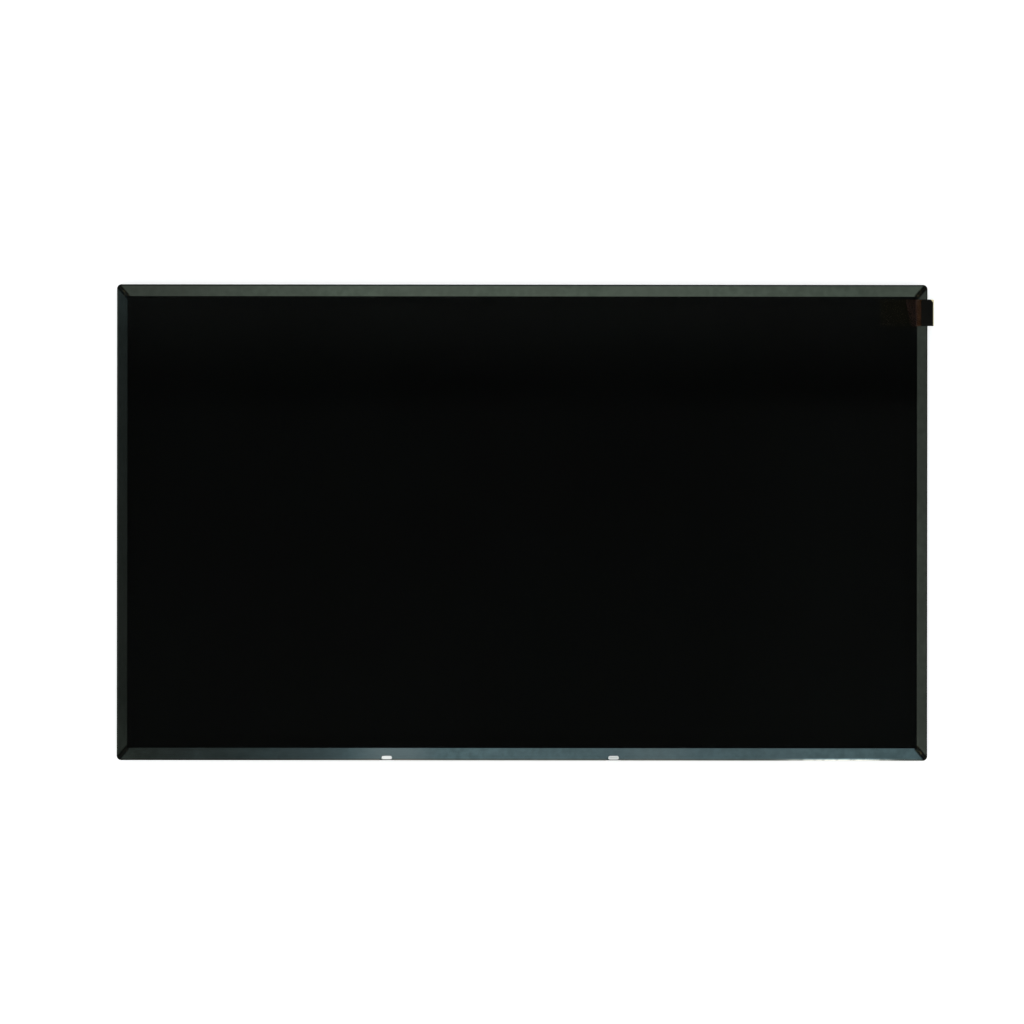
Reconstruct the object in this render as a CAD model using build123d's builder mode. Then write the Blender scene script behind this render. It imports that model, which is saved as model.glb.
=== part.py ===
"""A 15.6-inch laptop screen panel: a liquid-crystal cell on an edge-lit backlight, held in a
steel bezel, with its drive board folded behind the lower edge. It lies on its back, screen up.
X runs along the long side, Y towards the top of the picture, Z out of the screen. The origin is
under the middle of the outline, on the plane of the back."""

import os

from build123d import *

# Outline of the panel, seen from the front
outline_width = 359.3
outline_height = 211.0
outline_radius = 2.0

# Steel bezel: one stamped sheet, a sloping front flange and a skirt
bezel_sheet = 0.3
bezel_bend = 0.6
flange_drop = 0.5
skirt_lift = 0.2
opening_radius = 0.4
mitre_width = 1.2
mitre_depth = 0.16

# Walls between the bezel and the glass, from the outside in
frame_clearance = 0.1
side_wall = 2.75
top_wall = 3.4
bottom_wall = 1.0
driver_gap = 0.6
cell_clearance = 0.3

# Glass cell: the array glass is the larger one, and carries the driver bonds on its lower ledge
array_margin = 0.35
bond_ledge = 2.5
glass_cover = 0.8
glass_thickness = 0.4
polariser_thickness = 0.2
polariser_inset = 0.3
screen_film_thickness = 0.05
screen_film_bond = 0.02
screen_film_inset = 0.4
lip_clearance = 0.1

# Moulded frame: the ledge that carries the cell, and the pocket that holds the light guide
ledge_thickness = 0.4
ledge_side = 3.3
ledge_top = 3.8
ledge_bottom = 5.7
ledge_lap = 1.6
rim_tape_thickness = 0.1
rim_tape_inset = 0.2
driver_relief = 0.15
corner_post = 14.0

# Snap hooks on the moulded frame, and the windows for them in the skirt
hook_length = 4.6
hook_height = 0.9
hook_blunt = 0.3
hook_bite = 0.2
hook_window = 0.2
hook_spacing = 90.0
top_hook_count = 4
corner_hook = 34.0

# Two locating pegs that show through slots in the lower flange, each with a hook beside it
peg_left_x = -59.9
peg_right_x = 40.6
peg_length = 4.4
peg_width = 1.5
peg_setback = 1.3
peg_clearance = 0.15
peg_shy = 0.12
peg_to_hook = 15.0
peg_ring = 0.35
peg_hollow = 1.0

# Notches in the folded edge in front of the pegs
notch_length = 6.6
notch_depth = 0.45
notch_height = 1.6

# Lugs on the moulded frame that hold the rear cover's rim
lug_length = 3.0
lug_width = 1.0
lug_clearance = 0.1
lug_setback = 1.6
lug_shy = 0.05
lug_spacing = 88.0
lug_inset = 12.0

# Tapped bars for the side screws: M2, drawn at the thread's minor radius
bar_thickness = 2.0
bar_clearance = 0.05
bar_height = 3.6
bar_lift = 0.6
bar_end = 9.0
screw_radius = 0.8
screw_pass_radius = 1.3
screw_inset = 24.0
screw_spacing = 48.0

# Backlight, from the back to the front
board_bay_depth = 1.75
cover_sheet = 0.3
reflector_thickness = 0.15
guide_thickness = 0.7
guide_play = 0.2
optical_film_count = 4
optical_film_thickness = 0.1
optical_film_play = 0.05
optical_film_inset = 0.2
optical_film_setback = 0.7
ear_length = 6.0
ear_reach = 1.2
ear_clearance = 0.4
ear_span = 220.0

# Light bar: packages on a flat flex along the lower edge of the guide, with a tail to the board
flex_thickness = 0.12
flex_width = 4.1
flex_clearance = 0.1
led_count = 52
led_length = 3.8
led_depth = 1.0
led_inset = 0.5
led_gap = 0.1
tail_width = 6.0
tail_gap = 0.3
tail_offset = 7.0
tail_bend = 0.25
tail_drop = 0.4

# Rear cover: a pressed tray with a rim on three sides
floor_inset = 0.8
floor_radius = 3.0
draw_clearance = 0.25
bead_count = 5
bead_pitch = 58.0
bead_length = 118.0
bead_width = 7.0
bead_depth = 0.6
bead_draft = 45.0
bead_centre_y = 12.0

# Driver films, bent round the lower edge to the board
driver_count = 3
driver_width = 40.0
driver_thickness = 0.08
driver_bond = 1.6
driver_bend = 0.4
driver_wall_gap = 0.15
chip_length = 21.0
chip_width = 1.5
chip_thickness = 0.3

# Drive board, and the insulating film over it
board_end = 28.0
board_height = 16.4
board_thickness = 0.5
board_setback = 2.1
board_corner = 1.0
board_tape_thickness = 0.05
board_tape_inset = 2.0
guard_thickness = 0.08
guard_lift = 0.08
guard_end = 13.0
guard_lap = 4.0
guard_rise = 2.2
guard_overhang = 1.6
guard_edge = 0.3
guard_notch = 2.0

# Signal connector at the board's upper edge
plug_inset = 24.0
plug_length = 23.0
plug_depth = 4.0
plug_height = 0.95
plug_wall = 0.5
plug_roof = 0.3
plug_sheet = 0.12
contact_count = 40
contact_pitch = 0.5
contact_width = 0.2
contact_thickness = 0.1
contact_length = 2.0
contact_foot = 0.8

# Light-bar socket at the board's lower edge
socket_length = 9.0
socket_depth = 3.4
socket_height = 0.85
socket_setback = 1.2
socket_mouth = 2.2
socket_play = 0.1
latch_depth = 1.0
latch_height = 0.1

# Chips, coils and small components on the back of the board
package_height = 0.8
package_draft = 6.0
timing_x = 30.0
timing_size = 9.0
lead_count = 12
lead_pitch = 0.65
lead_width = 0.25
lead_reach = 0.9
lead_thickness = 0.15
memory_length = 3.0
memory_width = 2.0
memory_gap = 11.0
power_x = 84.0
power_size = 5.0
lamp_driver_x = -96.0
lamp_driver_size = 4.0
coil_size = 5.0
coil_height = 1.0
coil_radius = 1.2
coil_gap = 9.0
fuse_length = 3.2
fuse_width = 1.6
fuse_height = 0.8
fuse_gap = 18.0
capacitor_count = 22
capacitor_pitch = 10.5
capacitor_length = 1.6
capacitor_width = 0.8
capacitor_row = 1.8
resistor_columns = 9
resistor_rows = 2
resistor_pitch = 5.0
resistor_length = 1.0
resistor_width = 0.5
resistor_height = 0.35
resistor_x = -40.0

# Pull tab of the screen film: clear strip, amber tape and black grip, in layers
tab_width = 11.8
tab_from_top = 6.5
tab_length = 20.8
tab_overhang = 2.7
tab_layer = 0.06
tab_bond = 0.02
tab_gap = 0.03
tab_rise = 0.5
tab_lead = 0.1
tab_sag = 0.15
amber_length = 9.8
amber_slant = 2.7
grip_inside = 2.9
grip_overhang = 2.4
grip_corner = 1.2

# Levels, from the back up
floor_back_z = board_bay_depth
floor_z = floor_back_z + cover_sheet
guide_z = floor_z + reflector_thickness
films_z = guide_z + guide_thickness
ledge_back_z = films_z + optical_film_count * optical_film_thickness + optical_film_play
ledge_z = ledge_back_z + ledge_thickness
array_z = ledge_z + rim_tape_thickness
colour_z = array_z + glass_thickness
polariser_z = colour_z + glass_thickness
screen_film_z = polariser_z + polariser_thickness + screen_film_bond
screen_film_top_z = screen_film_z + screen_film_thickness
lip_back_z = screen_film_top_z + lip_clearance
lip_z = lip_back_z + bezel_sheet
bezel_top_z = lip_z + flange_drop
frame_top_z = lip_back_z - frame_clearance / 2
driver_wall_z = colour_z - driver_relief
hook_z = ledge_back_z - hook_height
board_z = floor_back_z - board_tape_thickness
board_back_z = board_z - board_thickness
bar_z = cover_sheet + bar_lift
screw_z = bar_z + bar_height / 2
tail_z = board_back_z - tail_drop

# Edges in plan: half widths along X, and top and bottom edges along Y
half_width = outline_width / 2
half_height = outline_height / 2
skirt_x = half_width - bezel_sheet
skirt_y = half_height - bezel_sheet
skirt_radius = outline_radius - bezel_sheet
frame_x = skirt_x - frame_clearance
frame_top = skirt_y - frame_clearance
frame_bottom = driver_gap - skirt_y
frame_radius = skirt_radius - frame_clearance
cover_x = frame_x - frame_clearance / 2
cover_top = frame_top - frame_clearance / 2
cover_bottom = frame_bottom + frame_clearance / 2
cell_x = frame_x - side_wall
cell_top = frame_top - top_wall
cell_bottom = frame_bottom + bottom_wall
array_x = cell_x - cell_clearance
array_top = cell_top - cell_clearance
array_bottom = cell_bottom + cell_clearance
colour_x = array_x - array_margin
colour_top = array_top - array_margin
colour_bottom = array_bottom + bond_ledge
opening_x = colour_x - glass_cover
opening_top = colour_top - glass_cover
opening_bottom = colour_bottom + glass_cover
ledge_x = cell_x - ledge_side
ledge_high = cell_top - ledge_top
ledge_low = cell_bottom + ledge_bottom
pocket_x = ledge_x + ledge_lap
pocket_top = ledge_high + ledge_lap
guide_x = pocket_x - guide_play
guide_top = pocket_top - guide_play
led_low = cell_bottom + led_inset
guide_bottom = led_low + led_depth + led_gap
flex_low = cell_bottom + flex_clearance
flex_high = flex_low + flex_width
floor_x = pocket_x - floor_inset
floor_top = pocket_top - floor_inset
foot_x = floor_x + board_bay_depth
foot_top = floor_top + board_bay_depth
screw_outer_y = half_height - screw_inset
screw_inner_y = screw_outer_y - screw_spacing
board_x = half_width - board_end
board_bottom = board_setback - skirt_y
board_top = board_bottom + board_height
board_middle = (board_bottom + board_top) / 2
tab_high = half_height - tab_from_top
tab_low = tab_high - tab_width

# Places along the lower edge
driver_pitch = 2 * board_x / driver_count
driver_places = [driver_pitch * (number - (driver_count - 1) / 2) for number in range(driver_count)]
driver_fold_y = driver_wall_gap + driver_thickness / 2 - skirt_y
peg_top_z = bezel_top_z - peg_shy
peg_places = [(x, peg_setback - half_height) for x in (peg_left_x, peg_right_x)]
tail_x = driver_places[0] - (driver_width + tail_width) / 2 - tail_offset
tail_fold_y = cover_bottom - tail_gap
socket_low = board_bottom + socket_setback
plug_x = board_x - plug_inset
plug_low = board_top - plug_depth

# Snap hooks: where each stands on the frame, the way it points and how far it reaches
top_hooks = [hook_spacing * (place - (top_hook_count - 1) / 2) for place in range(top_hook_count)]
bottom_hooks = [
    corner_hook - half_width,
    peg_left_x + peg_to_hook,
    peg_right_x + peg_to_hook,
    half_width - corner_hook,
]
hooks = [((x, frame_top), (0, 1), frame_clearance + hook_bite) for x in top_hooks]
hooks += [((x, frame_bottom), (0, -1), driver_gap + hook_bite) for x in bottom_hooks]
hooks += [((side * frame_x, 0), (side, 0), frame_clearance + hook_bite) for side in (-1, 1)]

# Lugs: along the top rim and down both side rims
lug_x = frame_x - lug_setback
lug_y = frame_top - lug_setback
top_lugs = [(x, lug_y) for x in (-lug_spacing, 0, lug_spacing)]
side_lugs = [(side * lug_x, end * (frame_top - lug_inset)) for side in (-1, 1) for end in (-1, 1)]

os.makedirs("parts", exist_ok=True)


def write(part, name):
    """Labels a finished piece and writes it to its own file."""
    part.label = name
    export_step(part, f"parts/{name}.step")


def area(half_x, low, high, radius=0.0, mode=Mode.ADD):
    """A rectangle in the open sketch, even about the Y axis, from low to high along Y."""
    with Locations((0, (low + high) / 2)):
        if radius:
            RectangleRounded(2 * half_x, high - low, radius, mode=mode)
        else:
            Rectangle(2 * half_x, high - low, mode=mode)


def block(low, high, mode=Mode.ADD):
    """A box in the open part between two opposite corners."""
    size = Vector(*high) - Vector(*low)
    with Locations((Vector(*low) + Vector(*high)) * 0.5):
        Box(size.X, size.Y, size.Z, mode=mode)


def lug_pattern(clearance=0.0, mode=Mode.ADD):
    """The lugs in the open sketch, or the slots for them, each along its own rim."""
    length = lug_length + 2 * clearance
    width = lug_width + 2 * clearance
    with Locations(top_lugs):
        Rectangle(length, width, mode=mode)
    with Locations(side_lugs):
        Rectangle(width, length, mode=mode)


def flat_sheet(name, level, thickness, half_x, low, high):
    """A plain cut sheet of film, glass or foil that lies flat at a level."""
    with BuildPart() as sheet:
        with BuildSketch(Plane.XY.offset(level)):
            area(half_x, low, high)
        extrude(amount=thickness)
    write(sheet.part, name)


def ribbon(x, width, thickness, bend, points):
    """A folded strip in the open part: a path in Y and Z with round bends, drawn out along X."""
    with BuildSketch(Plane.YZ.offset(x)) as profile:
        with BuildLine():
            FilletPolyline(*points, radius=bend)
        trace(line_width=thickness)
    extrude(profile.sketch, amount=width / 2, both=True)


# Front bezel
# Space above the sloping flange, from the folded edge down to the lip of the opening
with BuildPart() as flange_slope:
    with BuildSketch(Plane.XY.offset(bezel_top_z)):
        area(
            half_width - bezel_bend,
            bezel_bend - half_height,
            half_height - bezel_bend,
            outline_radius - bezel_bend,
        )
    with BuildSketch(Plane.XY.offset(lip_z)):
        area(opening_x, opening_bottom, opening_top, opening_radius)
    loft(ruled=True)

# Space inside the skirt, under the flange
with BuildPart() as bezel_cavity:
    with BuildSketch(Plane.XY):
        area(skirt_x, -skirt_y, skirt_y, skirt_radius)
    extrude(amount=bezel_top_z - bezel_sheet)
    add(flange_slope.part.moved(Location((0, 0, -bezel_sheet))), mode=Mode.SUBTRACT)

with BuildPart() as front_bezel:
    with BuildSketch(Plane.XY.offset(skirt_lift)):
        area(half_width, -half_height, half_height, outline_radius)
    extrude(amount=bezel_top_z - skirt_lift)
    fillet(front_bezel.faces().sort_by(Axis.Z)[-1].edges(), bezel_bend)
    add(flange_slope.part, mode=Mode.SUBTRACT)
    add(bezel_cavity.part, mode=Mode.SUBTRACT)
    with BuildSketch(Plane.XY):
        area(opening_x, opening_bottom, opening_top, opening_radius)
    extrude(amount=bezel_top_z, mode=Mode.SUBTRACT)
    # A coined groove along the mitre of each corner, from the lip to the folded edge
    for side in (-1, 1):
        for lip_y, edge_y in ((opening_top, half_height), (opening_bottom, -half_height)):
            lip_corner = Vector(side * opening_x, lip_y, lip_z)
            mitre = Vector(side * half_width, edge_y, bezel_top_z) - lip_corner
            across = mitre.cross(Vector(0, 0, 1))
            with BuildSketch(Plane(origin=lip_corner, x_dir=across, z_dir=mitre)):
                Polygon(
                    (-mitre_width / 2, 0),
                    (0, -mitre_depth),
                    (mitre_width / 2, 0),
                    (0, mitre_depth),
                )
            extrude(amount=mitre.length, mode=Mode.SUBTRACT)
    # Slots over the locating pegs
    with BuildSketch(Plane.XY.offset(frame_top_z)):
        with Locations(peg_places):
            SlotOverall(peg_length + 2 * peg_clearance, peg_width + 2 * peg_clearance)
    extrude(amount=bezel_top_z - frame_top_z, mode=Mode.SUBTRACT)
    # Notches through the folded edge in front of those slots
    with BuildSketch(Plane.XY.offset(bezel_top_z - notch_height)):
        with Locations([(x, -half_height) for x, y in peg_places]):
            Rectangle(notch_length, 2 * notch_depth)
    extrude(amount=notch_height, mode=Mode.SUBTRACT)
    # Windows that rest on the flat undersides of the snap hooks, and holes the side screws pass
    for (x, y), (out_x, out_y), reach in hooks:
        with Locations((x + out_x * reach, y + out_y * reach, hook_z)):
            Box(
                abs(out_y) * (hook_length + 2 * hook_window) + abs(out_x) * 2 * bezel_sheet,
                abs(out_x) * (hook_length + 2 * hook_window) + abs(out_y) * 2 * bezel_sheet,
                hook_height + hook_window,
                align=(Align.CENTER, Align.CENTER, Align.MIN),
                mode=Mode.SUBTRACT,
            )
    with BuildSketch(Plane.YZ):
        with Locations([(sign * y, screw_z) for sign in (-1, 1) for y in (screw_inner_y, screw_outer_y)]):
            Circle(screw_pass_radius)
    extrude(amount=outline_width, both=True, mode=Mode.SUBTRACT)
write(front_bezel.part, "front_bezel")

# Screen film and the glass cell under it
flat_sheet(
    "screen_film",
    screen_film_z,
    screen_film_thickness,
    opening_x - screen_film_inset,
    opening_bottom + screen_film_inset,
    opening_top - screen_film_inset,
)
flat_sheet(
    "front_polariser",
    polariser_z,
    polariser_thickness,
    colour_x - polariser_inset,
    colour_bottom + polariser_inset,
    colour_top - polariser_inset,
)
flat_sheet("colour_filter_glass", colour_z, glass_thickness, colour_x, colour_bottom, colour_top)
flat_sheet("array_glass", array_z, glass_thickness, array_x, array_bottom, array_top)
flat_sheet(
    "rear_polariser",
    array_z - polariser_thickness,
    polariser_thickness,
    ledge_x - polariser_inset,
    ledge_low + polariser_inset,
    ledge_high - polariser_inset,
)
with BuildPart() as rim_tape:
    with BuildSketch(Plane.XY.offset(ledge_z)):
        area(array_x - rim_tape_inset, array_bottom + rim_tape_inset, array_top - rim_tape_inset)
        area(
            ledge_x + rim_tape_inset,
            ledge_low - rim_tape_inset,
            ledge_high + rim_tape_inset,
            mode=Mode.SUBTRACT,
        )
    extrude(amount=rim_tape_thickness)
write(rim_tape.part, "rim_tape")

# Pull tab: three layers that follow one path, off the film, up over the flange and past the edge
tab_step = tab_layer + tab_bond
tab_path = [
    (half_width - tab_length, screen_film_top_z + tab_bond),
    (opening_x - tab_lead - tab_rise, screen_film_top_z + tab_bond),
    (opening_x - tab_lead, lip_z + tab_gap),
    (half_width - bezel_bend, bezel_top_z + tab_gap),
    (half_width + tab_overhang, bezel_top_z + tab_gap - tab_sag),
]


def tab_level(x):
    """Height of the tab's underside at a place along its path."""
    for (x_from, z_from), (x_to, z_to) in zip(tab_path, tab_path[1:]):
        if x <= x_to:
            return z_from + (z_to - z_from) * (x - x_from) / (x_to - x_from)
    return tab_path[-1][1]


def tab_sheet(x_from, x_to, bottom, thickness):
    """One layer of the tab in the open part, at a height above the path's underside."""
    stops = [x_from] + [x for x, z in tab_path if x_from < x < x_to] + [x_to]
    lower = [(x, tab_level(x) + bottom) for x in stops]
    upper = [(x, z + thickness) for x, z in reversed(lower)]
    with BuildSketch(Plane.XZ.offset(-tab_low)) as profile:
        with BuildLine():
            Polyline(*lower, *upper, close=True)
        make_face()
    extrude(profile.sketch, amount=-tab_width)


def clip_free_corner(layer):
    """Take the upper corner off the free end of the tab layer in the open part."""
    free_end = layer.edges().filter_by(Axis.Z).group_by(Axis.X)[-1]
    chamfer(free_end.sort_by(Axis.Y)[-1], grip_corner)


with BuildPart() as pull_tab_strip:
    tab_sheet(half_width - tab_length, half_width + tab_overhang, 0, tab_layer)
write(pull_tab_strip.part, "pull_tab_strip")

with BuildPart() as pull_tab_tape:
    tab_sheet(half_width - amber_length, half_width + grip_overhang, tab_step, tab_layer)
    clip_free_corner(pull_tab_tape)
    # The inner end is cut aslant
    with BuildSketch(Plane.XY):
        with BuildLine():
            Polyline(
                (half_width - amber_length, tab_low),
                (half_width - amber_length + amber_slant, tab_low),
                (half_width - amber_length, tab_high),
                close=True,
            )
        make_face()
    extrude(amount=2 * bezel_top_z, mode=Mode.SUBTRACT)
write(pull_tab_tape.part, "pull_tab_tape")

with BuildPart() as pull_tab_grip:
    tab_sheet(half_width - grip_inside, half_width + grip_overhang, 2 * tab_step, 2 * tab_layer)
    clip_free_corner(pull_tab_grip)
write(pull_tab_grip.part, "pull_tab_grip")

# Optical films, with two ears that hang in notches of the frame
for number, name in enumerate(["lower_diffuser", "lower_prism_sheet", "upper_prism_sheet", "upper_diffuser"]):
    with BuildPart() as optical_film:
        film_top = guide_top - optical_film_inset
        with BuildSketch(Plane.XY.offset(films_z + number * optical_film_thickness)):
            area(guide_x - optical_film_inset, guide_bottom + optical_film_setback, film_top)
            with Locations((-ear_span / 2, film_top), (ear_span / 2, film_top)):
                Rectangle(ear_length, 2 * ear_reach)
        extrude(amount=optical_film_thickness)
    write(optical_film.part, name)

# Light guide and the reflector under it
flat_sheet("light_guide", guide_z, guide_thickness, guide_x, guide_bottom, guide_top)
flat_sheet(
    "reflector_sheet", floor_z, reflector_thickness, guide_x, flex_high + flex_clearance, guide_top
)

# Light bar: the flex with its tail folded back to the board, and the light packages on it
with BuildPart() as light_bar_flex:
    with BuildSketch(Plane.XY.offset(floor_z)):
        area(guide_x, flex_low, flex_high)
    extrude(amount=flex_thickness)
    flex_z = floor_z + flex_thickness / 2
    ribbon(
        tail_x,
        tail_width,
        flex_thickness,
        tail_bend,
        [
            (led_low, flex_z),
            (tail_fold_y, flex_z),
            (tail_fold_y, tail_z),
            (socket_low + socket_mouth - socket_play, tail_z),
        ],
    )
write(light_bar_flex.part, "light_bar_flex")

with BuildPart() as light_packages:
    with BuildSketch(Plane.XY.offset(floor_z + flex_thickness)):
        with Locations((0, led_low + led_depth / 2)):
            with GridLocations(2 * guide_x / led_count, 0, led_count, 1):
                Rectangle(led_length, led_depth)
    extrude(amount=guide_thickness)
write(light_packages.part, "light_packages")

# Moulded frame
with BuildPart() as mould_frame:
    # Walls beside the tray, open at the bottom for the board
    with BuildSketch(Plane.XY.offset(cover_sheet)):
        area(frame_x, frame_bottom, frame_top, frame_radius)
        area(
            foot_x + draw_clearance,
            -half_height,
            foot_top + draw_clearance,
            mode=Mode.SUBTRACT,
        )
    extrude(amount=floor_z - cover_sheet)
    # Walls round the light guide, with the notches for the film ears
    with BuildSketch(Plane.XY.offset(floor_z)):
        area(frame_x, frame_bottom, frame_top, frame_radius)
        area(pocket_x, cell_bottom, pocket_top, mode=Mode.SUBTRACT)
        with Locations((-ear_span / 2, pocket_top), (ear_span / 2, pocket_top)):
            Rectangle(
                ear_length + 2 * ear_clearance,
                2 * (ear_reach + ear_clearance),
                mode=Mode.SUBTRACT,
            )
    extrude(amount=ledge_back_z - floor_z)
    # Ledge under the cell
    with BuildSketch(Plane.XY.offset(ledge_back_z)):
        area(frame_x, frame_bottom, frame_top, frame_radius)
        area(ledge_x, ledge_low, ledge_high, mode=Mode.SUBTRACT)
    extrude(amount=ledge_thickness)
    # Walls round the cell, let down between the corner posts for the driver films
    with BuildSketch(Plane.XY.offset(ledge_z)):
        area(frame_x, frame_bottom, frame_top, frame_radius)
        area(cell_x, cell_bottom, cell_top, mode=Mode.SUBTRACT)
    extrude(amount=frame_top_z - ledge_z)
    block(
        (corner_post - cell_x, -half_height, driver_wall_z),
        (cell_x - corner_post, cell_bottom, bezel_top_z),
        mode=Mode.SUBTRACT,
    )
    # Way out for the light bar's tail
    block(
        (tail_x - tail_width / 2 - tail_gap, frame_bottom, floor_z),
        (tail_x + tail_width / 2 + tail_gap, cell_bottom, floor_z + flex_thickness + tail_gap),
        mode=Mode.SUBTRACT,
    )
    # Locating pegs
    with BuildSketch(Plane.XY.offset(ledge_z)):
        with Locations(peg_places):
            SlotOverall(peg_length, peg_width)
    extrude(amount=peg_top_z - ledge_z)
    # The right peg is hollow at its top, so that it shows as a ring
    with BuildSketch(Plane.XY.offset(peg_top_z)):
        with Locations(peg_places[-1]):
            SlotOverall(peg_length - 2 * peg_ring, peg_width - 2 * peg_ring)
    extrude(amount=-peg_hollow, mode=Mode.SUBTRACT)
    # Snap hooks: flat below to hold the window's edge, sloping above to let the bezel slide on
    for (x, y), (out_x, out_y), reach in hooks:
        outward = Vector(out_x, out_y, 0)
        along = outward.cross(Vector(0, 0, 1))
        with BuildSketch(Plane(origin=(x, y, hook_z), x_dir=outward, z_dir=along)):
            with BuildLine():
                Polyline((0, 0), (reach, 0), (reach, hook_blunt), (0, hook_height), close=True)
            make_face()
        extrude(amount=hook_length / 2, both=True)
    # Pockets for the tapped bars, open to the sides
    for side in (-1, 1):
        for level in (-1, 1):
            with Locations(
                (
                    side * (frame_x - bar_thickness / 2 - bar_clearance),
                    level * (screw_inner_y + screw_outer_y) / 2,
                    screw_z,
                )
            ):
                Box(
                    bar_thickness + 2 * bar_clearance,
                    screw_spacing + 2 * (bar_end + bar_clearance),
                    bar_height,
                    mode=Mode.SUBTRACT,
                )
    # Lugs through the rear cover's rim
    with BuildSketch(Plane.XY.offset(lug_shy)):
        lug_pattern()
    extrude(amount=cover_sheet - lug_shy)
write(mould_frame.part, "mould_frame")

# Tapped bars for the side screws
for side, side_name in ((-1, "left"), (1, "right")):
    for level, level_name in ((-1, "lower"), (1, "upper")):
        bar_y = level * (screw_inner_y + screw_outer_y) / 2
        with BuildPart() as tapped_bar:
            with Locations((side * (frame_x - bar_thickness / 2 - bar_clearance), bar_y, screw_z)):
                Box(bar_thickness, screw_spacing + 2 * bar_end, bar_height)
            with BuildSketch(Plane.YZ):
                with Locations((bar_y, screw_z)):
                    with GridLocations(screw_spacing, 0, 2, 1):
                        Circle(screw_radius)
            extrude(amount=outline_width, both=True, mode=Mode.SUBTRACT)
        write(tapped_bar.part, f"tapped_bar_{side_name}_{level_name}")

# Rear cover
# The shape of the pressing tool: a flat rim, a raised floor with sloping walls, and sunk beads
with BuildPart() as press_tool:
    with BuildSketch(Plane.XY.offset(-board_bay_depth)):
        area(cover_x, -half_height, cover_top, frame_radius)
    extrude(amount=board_bay_depth + cover_sheet)
    with BuildSketch(Plane.XY.offset(cover_sheet)):
        area(foot_x, -outline_height, foot_top, floor_radius + board_bay_depth)
    with BuildSketch(Plane.XY.offset(floor_z)):
        area(floor_x, -outline_height, floor_top, floor_radius)
    loft(ruled=True)
    with BuildSketch(Plane.XY.offset(floor_z)):
        with Locations((0, bead_centre_y)):
            with GridLocations(bead_pitch, 0, bead_count, 1):
                SlotOverall(bead_length, bead_width, rotation=90)
    extrude(amount=-bead_depth, taper=bead_draft, mode=Mode.SUBTRACT)

# The sheet is what lies between the tool's shape and the same shape one thickness lower
with BuildPart() as rear_cover:
    add(press_tool.part)
    add(press_tool.part.moved(Location((0, 0, -cover_sheet))), mode=Mode.SUBTRACT)
    with BuildSketch(Plane.XY):
        area(cover_x, cover_bottom, cover_top, frame_radius)
        lug_pattern(lug_clearance, mode=Mode.SUBTRACT)
    extrude(amount=floor_z, mode=Mode.INTERSECT)
write(rear_cover.part, "rear_cover")

# Driver films, bent round the lower edge, each with its chip on the inner face
for number, driver_x in enumerate(driver_places, start=1):
    bond_z = colour_z + driver_thickness / 2
    board_bond_z = board_back_z - driver_thickness / 2
    with BuildPart() as driver_film:
        ribbon(
            driver_x,
            driver_width,
            driver_thickness,
            driver_bend,
            [
                (array_bottom + driver_bond, bond_z),
                (driver_fold_y, bond_z),
                (driver_fold_y, board_bond_z),
                (board_bottom + driver_bond, board_bond_z),
            ],
        )
    write(driver_film.part, f"driver_film_{number}")
    chip_y = driver_fold_y + (driver_thickness + chip_thickness) / 2
    with BuildPart() as driver_chip:
        with Locations((driver_x, chip_y, (floor_z + driver_wall_z) / 2)):
            Box(chip_length, chip_thickness, chip_width)
    write(driver_chip.part, f"driver_chip_{number}")

# Drive board, the tape that holds it to the tray, and the film over it
with BuildPart() as drive_board:
    with BuildSketch(Plane.XY.offset(board_back_z)):
        area(board_x, board_bottom, board_top, board_corner)
    extrude(amount=board_thickness)
write(drive_board.part, "drive_board")
flat_sheet(
    "board_tape",
    board_z,
    board_tape_thickness,
    board_x - board_tape_inset,
    board_bottom + board_tape_inset,
    board_top - board_tape_inset,
)
with BuildPart() as board_guard:
    guard_z = guard_lift + guard_thickness / 2
    slope_y = board_top + guard_overhang
    ribbon(
        0,
        2 * (floor_x - guard_end),
        guard_thickness,
        guard_thickness,
        [
            (guard_edge - skirt_y, guard_z),
            (slope_y, guard_z),
            (slope_y + guard_rise, floor_back_z - guard_thickness / 2),
            (slope_y + guard_rise + guard_lap, floor_back_z - guard_thickness / 2),
        ],
    )
    # Notch that leaves the connector free
    block(
        (plug_x - plug_length / 2 - guard_notch, plug_low - guard_notch, 0),
        (plug_x + plug_length / 2 + guard_notch, slope_y + guard_rise + guard_lap, floor_back_z),
        mode=Mode.SUBTRACT,
    )
write(board_guard.part, "board_guard")

# Signal connector: housing, folded shell and a row of contacts, its mouth at the upper edge
plug_floor_z = board_back_z - plug_height
housing_x = plug_length / 2 - plug_sheet
mouth_low = plug_low + 2 * plug_wall
mouth_roof_z = board_back_z - plug_roof
with BuildPart() as plug_housing:
    block(
        (plug_x - housing_x, plug_low, plug_floor_z + plug_sheet),
        (plug_x + housing_x, board_top, board_back_z),
    )
    block(
        (plug_x - housing_x + plug_wall, mouth_low, plug_floor_z + plug_sheet),
        (plug_x + housing_x - plug_wall, board_top, mouth_roof_z),
        mode=Mode.SUBTRACT,
    )
write(plug_housing.part, "plug_housing")
with BuildPart() as plug_shell:
    block(
        (plug_x - plug_length / 2, plug_low, plug_floor_z),
        (plug_x + plug_length / 2, board_top, board_back_z),
    )
    block(
        (plug_x - housing_x, plug_low, plug_floor_z + plug_sheet),
        (plug_x + housing_x, board_top, board_back_z),
        mode=Mode.SUBTRACT,
    )
    # Two windows that the cable's latch springs into
    with BuildSketch(Plane.XY.offset(plug_floor_z)):
        with Locations((plug_x, board_top - plug_depth / 2)):
            with GridLocations(2 * housing_x - plug_depth, 0, 2, 1):
                Rectangle(plug_depth / 2, plug_wall)
    extrude(amount=plug_sheet, mode=Mode.SUBTRACT)
write(plug_shell.part, "plug_shell")
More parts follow.
